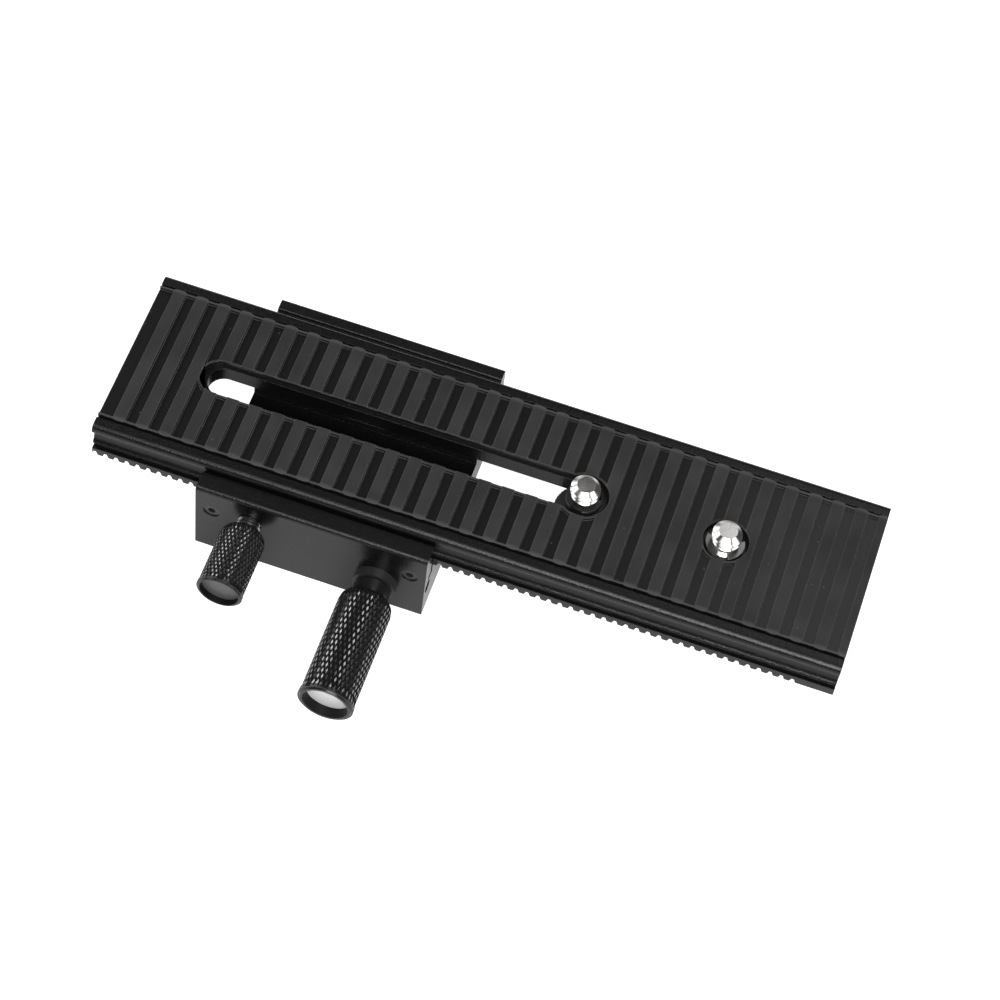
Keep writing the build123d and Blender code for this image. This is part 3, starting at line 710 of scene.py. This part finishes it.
# %% Wind a threaded rod along Z
def threaded_rod(name, major, minor, pitch, turns):
    put_all_down()
    bpy.ops.mesh.primitive_plane_add(size=MM)
    rod = started(name)
    open_up(rod)
    bpy.ops.mesh.merge(type="CENTER")
    bpy.ops.transform.translate(value=(minor * MM, 0, 0))
    depth = major - minor
    for outward, upward in ((0, 0.14), (depth, 0.29), (0, 0.12), (-depth, 0.29), (0, 0.16)):
        bpy.ops.mesh.extrude_vertices_move(
            TRANSFORM_OT_translate={"value": (outward * MM, 0, upward * pitch * MM)}
        )
    put_all_down()
    work_on(rod)
    winding = rod.modifiers.new("winding", "SCREW")
    winding.axis = "Z"
    winding.angle = 2 * math.pi
    winding.screw_offset = pitch * MM
    winding.iterations = turns
    winding.steps = winding.render_steps = 48
    winding.use_merge_vertices = True
    winding.merge_threshold = 0.001 * MM
    bpy.ops.object.modifier_apply(modifier=winding.name)
    open_up(rod)
    bpy.ops.mesh.remove_doubles(threshold=0.001 * MM)
    bpy.ops.mesh.fill_holes(sides=0)
    bpy.ops.mesh.select_all(action="SELECT")
    bpy.ops.mesh.normals_make_consistent(inside=False)
    put_all_down()
    return rod


def moved(piece, place, tilt=(0, 0, 0)):
    piece.location = Vector(place) * MM
    piece.rotation_euler = tilt
    work_on(piece)
    bpy.ops.object.transform_apply(location=True, rotation=True, scale=True)
    return piece


# %% [markdown]
# ## The two camera screws
#
# Each screw holds a camera by its 1/4 inch thread: 6.35 mm across, one turn every
# 1.27 mm. It has a coin-slotted head with a grooved edge under the plate, and a neck that
# carries a retaining clip. One screw is made and copied, so both share every measure.

# %% Model one camera screw
screw_low, screw_high = (Vector(corner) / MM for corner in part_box("slot_screw"))
head_radius = (screw_high.x - screw_low.x) / 2
head_height = 4.2
shank = 3.12
core = 2.56
neck_low, neck_high = 22.18, 23.13
thread_start = 24.1
tip = screw_high.z

camera_screw = turned(
    "camera_screw",
    (slot_screw_x, 0, 0),
    UP,
    [
        (screw_low.z, head_radius - 0.4),
        (screw_low.z + 0.4, head_radius),
        (screw_low.z + head_height - 0.4, head_radius),
        (screw_low.z + head_height, head_radius - 0.3),
        (screw_low.z + head_height, shank),
        (neck_low, shank),
        (neck_low, 2.6),
        (neck_high, 2.6),
        (thread_start, core),
    ],
    96,
)
open_up(camera_screw)
head_middle = Vector((slot_screw_x, 0, screw_low.z + head_height / 2)) * MM


def on_a_groove(c, v):
    around = math.atan2(c.y, c.x - slot_screw_x * MM) / (2 * math.pi) * 96
    away = math.hypot(c.x - slot_screw_x * MM, c.y)
    return round(around) % 2 == 0 and away > (head_radius - 0.05) * MM


grooves = choose(camera_screw, "VERT", on_a_groove)
bpy.ops.transform.resize(value=(0.955, 0.955, 1), center_override=head_middle)
put_all_down()
print("groove corners:", grooves)

# %% Cut the coin slot and add the thread
coin_middle = Vector((slot_screw_x, 0, screw_low.z)) * MM
coin_size = (14, 1.6, 2.8)
bpy.ops.mesh.primitive_cube_add(size=MM, location=coin_middle)
coin = started("coin")
open_up(coin)
bpy.ops.transform.resize(value=coin_size, center_override=coin_middle)
put_all_down()
fit_tool(camera_screw, coin)

rod = moved(threaded_rod("rod", shank, core, 1.27, 8), (slot_screw_x, 0, 20.2))
blank = turned(
    "blank",
    (slot_screw_x, 0, 0),
    UP,
    [
        (22.6, core - 0.1),
        (thread_start - 0.05, core - 0.1),
        (thread_start + 0.35, shank),
        (tip - 0.85, shank),
        (tip, 1.95),
    ],
    96,
)
fit_tool(rod, blank, "INTERSECT")
fit_tool(camera_screw, rod, "UNION")

# %% Copy it to the end hole, paint shade in black under the plate, and hand both over
put_all_down()
end_camera_screw = camera_screw.copy()
end_camera_screw.data = camera_screw.data.copy()
end_camera_screw.name = "end_camera_screw"
bpy.context.scene.collection.objects.link(end_camera_screw)
moved(end_camera_screw, (end_screw_x - slot_screw_x, 0, 0))
# painted shade: both heads, and the slot screw's neck too, take black oxide where they lie in shade in and
# under the plate; the screws themselves are bright nickel
for piece, shade_below in ((camera_screw, thread_start - 0.02), (end_camera_screw, neck_low)):
    open_up(piece)
    shade_painted = choose(piece, "FACE", lambda c, f: c.z < shade_below * MM)
    second_finish(piece, bright_nickel, black_oxide)
    put_all_down()
    print(piece.name, "has", shade_painted, "blackened faces")
hand_over(camera_screw, "slot_screw_turn", bright_nickel, ["slot_screw"])
hand_over(end_camera_screw, "end_screw_turn", bright_nickel, ["end_screw"])


# %% [markdown]
# ## Retaining clips
#
# An E-shaped spring clip snaps into each screw's neck and keeps the screw in the plate.
# It is stamped from sheet: a disc with a round seat, a mouth on one side and two hollows
# that leave three short teeth on the neck.

# %% Stamp a clip
seat_radius = 2.64
mouth_size = (12.0, 2.5)
hollow_size = (6.1, 2.2)
hollow_turn = 125


def e_clip(name, x, outer, low, high, mouth_turn):
    middle = Vector((x, 0, (low + high) / 2)) * MM
    edge = outer - 0.1
    stations = [(low, edge), (low + 0.1, outer), (high - 0.1, outer), (high, edge)]
    disc = turned(name, (x, 0, 0), UP, stations, 72)
    fit_tool(disc, slot_block("seat", x, x, seat_radius, low - 1, high + 1))
    for turn in (mouth_turn, mouth_turn + hollow_turn, mouth_turn - hollow_turn):
        bpy.ops.mesh.primitive_cube_add(size=MM, location=middle)
        tool = started("hollow")
        open_up(tool)
        long, wide = mouth_size if turn == mouth_turn else hollow_size
        bpy.ops.transform.resize(value=(long, wide, 4), center_override=middle)
        bpy.ops.transform.translate(value=(long / 2 * MM, 0, 0))
        put_all_down()
        tool.rotation_euler = (0, 0, math.radians(turn))
        pivot = Vector((x * MM, 0, 0))
        tool.location = pivot - tool.rotation_euler.to_matrix() @ pivot
        started("hollow")
        fit_tool(disc, tool)
    return disc


clip_low, clip_high = (corner.z / MM for corner in map(Vector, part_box("slot_clip")))
slot_e_clip = e_clip("slot_e_clip", slot_screw_x, 3.85, clip_low, clip_high, -100)
hand_over(slot_e_clip, "slot_slider", black_oxide, ["slot_clip"])
end_e_clip = e_clip("end_e_clip", end_screw_x, 4.15, clip_low, clip_high, -85)
# painted shade: the end clip is bright steel, and its darker steel finish stands in for the shade of the
# hole it sits in
hand_over(end_e_clip, "end_screw_turn", dark_steel, ["end_clip"])

# %% [markdown]
# ## Knurled knobs
#
# Diamond knurling is pressed in by two wheels whose teeth lean opposite ways. Their lines
# cross, and little flat-topped pyramids stay between them. On a turned knob with an even
# number of sides, every second corner of every second ring is pushed in, the quads are
# split along the pushed-in corners, and the tops that stay are flattened by a bevel.

# %% Press the knurl into a turned knob
def knurl(piece, foot, rows, sides, hub, depth_share, flat):
    """rows are distances of the knurled rings from the foot in mm; nothing nearer to the axis
    than hub is knurled, and flat is the percentage of each edge that a flat top takes."""
    foot = Vector(foot) * MM
    levels = [round(distance * MM, 7) for distance in rows]

    def ring_and_side(c):
        away = foot.y - c.y
        for ring, level in enumerate(levels):
            if abs(away - level) < 2e-6:
                around = math.atan2(c.z - foot.z, c.x - foot.x) / (2 * math.pi) * sides
                return ring, round(around)
        return None, None

    def knurled(c):
        ring, side = ring_and_side(c)
        if ring is None or not 0 < ring < len(levels) - 1:
            return None
        if math.hypot(c.x - foot.x, c.z - foot.z) < hub * MM:
            return None
        return (ring + side) % 2

    open_up(piece)
    pushed = choose(piece, "VERT", lambda c, v: knurled(c) == 0)
    share = 1 - depth_share
    bpy.ops.transform.resize(value=(share, 1, share), center_override=foot)
    first, last = levels[0], levels[-1]
    choose(
        piece,
        "FACE",
        lambda c, f: len(f.verts) == 4
        and first < foot.y - c.y < last
        and math.hypot(c.x - foot.x, c.z - foot.z) > hub * MM,
    )
    bpy.ops.mesh.quads_convert_to_tris(quad_method="SHORTEST_DIAGONAL")
    choose(piece, "VERT", lambda c, v: knurled(c) == 1)
    bpy.ops.mesh.bevel(
        offset_type="PERCENT", offset_pct=flat, affect="VERTICES", segments=1, clamp_overlap=False
    )
    bpy.ops.mesh.select_mode(type="FACE")
    second_finish(piece, knob_anodising, worn_crests)
    put_all_down()
    print(piece.name, "has", pushed, "hollows pressed in")


def paint_recess_shade(piece, foot, length, reach):
    """Paint shade into the recess in a knob's end: its inner wall takes a dull black finish."""
    open_up(piece)
    choose(
        piece,
        "FACE",
        lambda c, f: foot[1] - c.y / MM > length - 4
        and all(math.hypot(v.co.x / MM - foot[0], v.co.z / MM - foot[2]) < reach for v in f.verts),
    )
    piece.data.materials.append(recess_shade_black)
    piece.active_material_index = 2
    bpy.ops.object.material_slot_assign()
    put_all_down()


def rounded_shoulder(start, low, length, high, steps):
    """Stations of a quarter round from the collar to the grip."""
    stations = []
    for step in range(1, steps + 1):
        angle = math.pi / 2 * step / steps
        stations.append((start + length * (1 - math.cos(angle)), low + (high - low) * math.sin(angle)))
    return stations


# %% The drive knob
drive_low, drive_high = (Vector(corner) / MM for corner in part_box("drive_knob"))
drive_x, drive_z = middle_of("drive_knob")[0], middle_of("drive_knob")[2]
drive_radius = (drive_high.x - drive_low.x) / 2
drive_length = drive_high.y - drive_low.y
drive_foot = (drive_x, drive_high.y, drive_z)
knurl_crest = drive_radius + 0.13
shoulder = rounded_shoulder(2.9, 3.9, 2.6, knurl_crest, 3)
row_count = 17
row_pitch = (drive_length - 0.35 - 5.5) / row_count
grip_rows = [(5.5 + row_pitch * row, knurl_crest) for row in range(1, row_count + 1)]
drive_disc_radius = (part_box("drive_knob_disc")[1][0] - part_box("drive_knob_disc")[0][0]) / 2 / MM
drive_disc_back = drive_high.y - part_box("drive_knob_disc")[1][1] / MM
drive_rows = [2.9] + [distance for distance, radius in shoulder + grip_rows]
grip_end = drive_rows[-1]
drive_knob = turned(
    "knurled_drive_knob",
    drive_foot,
    FRONT,
    [(20.0, 2.52), (0.0, 2.52), (0.0, 3.7), (0.2, 3.9), (2.9, 3.9)]
    + shoulder
    + grip_rows
    + [
        (grip_end + 0.04, drive_radius - 0.18),
        (drive_length, drive_radius - 0.42),
        (drive_length, drive_disc_radius + 0.1),
        (drive_length - 0.08, drive_disc_radius + 0.02),
        (drive_disc_back, drive_disc_radius + 0.02),
    ],
    76,
)
knurl(drive_knob, drive_foot, drive_rows, 76, 3.0, 0.085, 44)
paint_recess_shade(drive_knob, drive_foot, drive_length, drive_radius - 0.5)
print("knurl ends at", round(grip_end, 2), "of", round(drive_length, 2))

# %% Drill the drive knob for its grub screw, and hand it over
grub_x, grub_y = middle_of("knob_grub")[:2]
put_all_down()
bpy.ops.mesh.primitive_cylinder_add(
    vertices=32, radius=1.02 * MM, depth=4 * MM, location=(grub_x * MM, grub_y * MM, (drive_z - 4.1) * MM)
)
fit_tool(drive_knob, started("drill"))
hand_over(drive_knob, "drive", knob_anodising, ["drive_knob"])

# %% The clamp knob, finer and domed
lock_low, lock_high = (Vector(corner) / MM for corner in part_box("lock_knob"))
lock_x, lock_z = middle_of("lock_knob")[0], middle_of("lock_knob")[2]
lock_radius = (lock_high.x - lock_low.x) / 2
lock_length = lock_high.y - lock_low.y
lock_foot = (lock_x, lock_high.y, lock_z)
lock_crest = lock_radius + 0.1
dome = rounded_shoulder(0.0, 2.9, 2.2, lock_crest, 3)
lock_row_count = 14
lock_row_pitch = (lock_length - 0.35 - 2.2) / lock_row_count
lock_grip = [(2.2 + lock_row_pitch * row, lock_crest) for row in range(1, lock_row_count + 1)]
lock_disc_radius = (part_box("lock_knob_disc")[1][0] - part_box("lock_knob_disc")[0][0]) / 2 / MM
lock_disc_back = lock_high.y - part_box("lock_knob_disc")[1][1] / MM
lock_rows = [0.0] + [distance for distance, radius in dome + lock_grip]
lock_grip_end = lock_rows[-1]
lock_knob = turned(
    "knurled_lock_knob",
    lock_foot,
    FRONT,
    [(9.0, 2.52), (0.0, 2.52), (0.0, 2.9)]
    + dome
    + lock_grip
    + [
        (lock_grip_end + 0.04, lock_radius - 0.12),
        (lock_length - 0.1, lock_radius - 0.2),
        (lock_length, lock_radius - 0.34),
        (lock_length, lock_disc_radius + 0.1),
        (lock_length - 0.08, lock_disc_radius + 0.02),
        (lock_disc_back, lock_disc_radius + 0.02),
    ],
    68,
)
knurl(lock_knob, lock_foot, lock_rows, 68, 2.7, 0.07, 36)
paint_recess_shade(lock_knob, lock_foot, lock_length, lock_disc_radius + 0.06)
hand_over(lock_knob, "clamp_knob", knob_anodising, ["lock_knob"])

# %% The clamp screw
clamp_low, clamp_high = (Vector(corner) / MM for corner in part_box("lock_screw"))
clamp_rod = moved(
    threaded_rod("clamp_thread", 2.5, 2.08, 0.8, 19),
    (lock_x, clamp_high.y + 1.2, lock_z),
    (math.pi / 2, 0, 0),
)
clamp_blank = turned(
    "clamp_blank",
    (lock_x, clamp_high.y, lock_z),
    FRONT,
    [(0.0, 2.1), (0.4, 2.5), (clamp_high.y - clamp_low.y, 2.5)],
    64,
)
fit_tool(clamp_rod, clamp_blank, "INTERSECT")
hand_over(clamp_rod, "clamp_knob", dark_steel, ["lock_screw"])

# %% The tripod bush, threaded inside
bush_low, bush_high = (Vector(corner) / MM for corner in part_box("tripod_bush"))
tripod_bush = turned(
    "threaded_tripod_bush",
    (0, 0, 0),
    UP,
    [(bush_low.z, 4.8), (bush_low.z + 0.2, 5.0), (bush_high.z, 5.0)],
    96,
)
fit_tool(tripod_bush, moved(threaded_rod("tap", 3.175, 2.6, 1.27, 9), (0, 0, bush_low.z - 1.7)))
fit_tool(tripod_bush, turned("countersink", (0, 0, 0), UP, [(-0.2, 3.6), (0.6, 2.55)], 96))
hand_over(tripod_bush, "carriage", bright_nickel, ["tripod_bush"])

# %% [markdown]
# ## Floor and light
#
# The product stood on a white table under large soft lamps. The floor is a wide pale
# sheet that also glows a little, as a light table does, so that the shade under the plate
# stays open. Six lamps surround the rail. The one at the left rear gives the knurling its
# bright band, those at the sides and in front draw the chamfers and lips, and the high
# ones put a soft gloss on the tops.

# %% Floor
put_all_down()
bpy.ops.mesh.primitive_plane_add(size=6.0, location=(0, 0, cad_low.z - 0.02 * MM))
floor = started("studio_floor")
open_up(floor)
bpy.ops.mesh.subdivide(number_cuts=3)
put_all_down()
floor_finish, floor_tree, floor_shader, floor_place = new_finish("pale_table")
soft_patch = cloud(floor_tree, floor_place, 2.0, 1.0)
floor_tone = tones(floor_tree, soft_patch, (0.46, 0.46, 0.46), (0.50, 0.50, 0.50))
wire(floor_tree, floor_tone, floor_shader.inputs["Base Color"])
floor_shader.inputs["Roughness"].default_value = 0.9
floor_shader.inputs["Emission Color"].default_value = (1, 1, 1, 1)
floor_looks = floor_tree.nodes.new("ShaderNodeLightPath")
floor_glow = between(floor_tree, floor_looks.outputs["Is Camera Ray"], 0.5, 0.95)
wire(floor_tree, floor_glow.outputs["Result"], floor_shader.inputs["Emission Strength"])
floor.data.materials.append(floor_finish)
print("floor at", round(floor.data.vertices[0].co.z / MM, 2), "mm")


# %% Lamps
def soft_lamp(name, direction, distance, size, radiance):
    """A square lamp that faces the rail; radiance 1 looks as bright as white paper."""
    aim = Vector((0.03, 0.0, 0.02))
    direction = Vector(direction).normalized()
    bpy.ops.object.light_add(type="AREA", location=aim + direction * distance)
    lamp = bpy.context.object
    lamp.name = name
    lamp.rotation_euler = direction.to_track_quat("Z", "Y").to_euler()
    lamp.data.size = size
    lamp.data.energy = radiance * math.pi * size * size
    return lamp


soft_lamp("left_lamp", (-0.68, 0.53, 0.46), 0.80, 0.50, 2.2)
soft_lamp("side_lamp", (-0.78, -0.05, 0.58), 0.80, 0.40, 2.0)
soft_lamp("right_side_lamp", (0.78, -0.15, 0.58), 0.80, 0.40, 2.0)
soft_lamp("high_right_lamp", (0.24, 0.52, 0.80), 0.85, 0.32, 2.0)
soft_lamp("front_lamp", (0.18, -0.62, 0.74), 0.90, 0.55, 9.0)
soft_lamp("overhead_panel", (0.0, -0.35, 0.93), 0.90, 0.80, 1.2)
print("lamps:", len(bpy.data.lights))

# %% Room
room = bpy.data.worlds.new("studio_room")
room.use_nodes = True
bpy.context.scene.world = room
room_tree = room.node_tree
room_glow = room_tree.nodes["Background"]
room_glow.inputs["Color"].default_value = (1, 1, 1, 1)
room_glow.inputs["Strength"].default_value = 0.08
room_seen = room_tree.nodes.new("ShaderNodeBackground")
room_seen.inputs["Color"].default_value = (0.95, 0.95, 0.95, 1)
room_mix = room_tree.nodes.new("ShaderNodeMixShader")
looks = room_tree.nodes.new("ShaderNodeLightPath")
wire(room_tree, looks.outputs["Is Camera Ray"], room_mix.inputs["Fac"])
wire(room_tree, room_glow.outputs[0], room_mix.inputs[1])
wire(room_tree, room_seen.outputs[0], room_mix.inputs[2])
wire(room_tree, room_mix.outputs[0], room_tree.nodes["World Output"].inputs["Surface"])
bpy.context.scene.view_settings.view_transform = "Standard"
print("room:", room.name)
